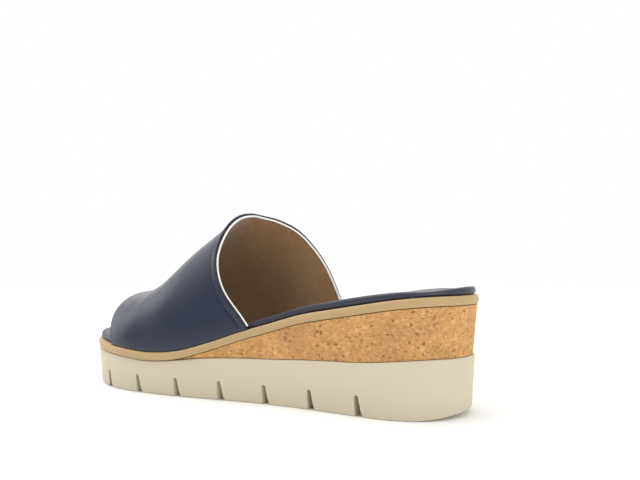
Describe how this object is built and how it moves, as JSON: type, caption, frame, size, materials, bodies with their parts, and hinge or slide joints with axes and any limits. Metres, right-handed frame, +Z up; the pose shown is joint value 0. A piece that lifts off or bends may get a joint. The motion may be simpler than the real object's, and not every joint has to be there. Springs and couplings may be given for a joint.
{
  "type": "slipper",
  "caption": "Left women's slip-on mule with an open toe and back: smooth vamp with a bound collar, padded insole, cork wedge and slotted platform outsole.",
  "frame": {"origin": "on the floor under the middle of the shoe's box", "axes": "+Z up, +Y from the heel to the toe, -X to the outer side of the left foot"},
  "size_m": [0.088, 0.2492, 0.1038],
  "materials": {
    "outsole": "matte off-white foam rubber",
    "cork_wedge": "pressed cork granules, matte",
    "welt": "smooth tan leather, satin",
    "insole": "smooth navy leather over padding, satin",
    "upper": "smooth navy leather, satin",
    "collar_piping": "white rolled binding, satin"
  },
  "bodies": {
    "root": {"outsole": "outsole", "cork_wedge": "cork_wedge", "welt": "welt", "insole": "insole", "upper": "upper", "collar_piping": "collar_piping"}
  },
  "joints": []
}
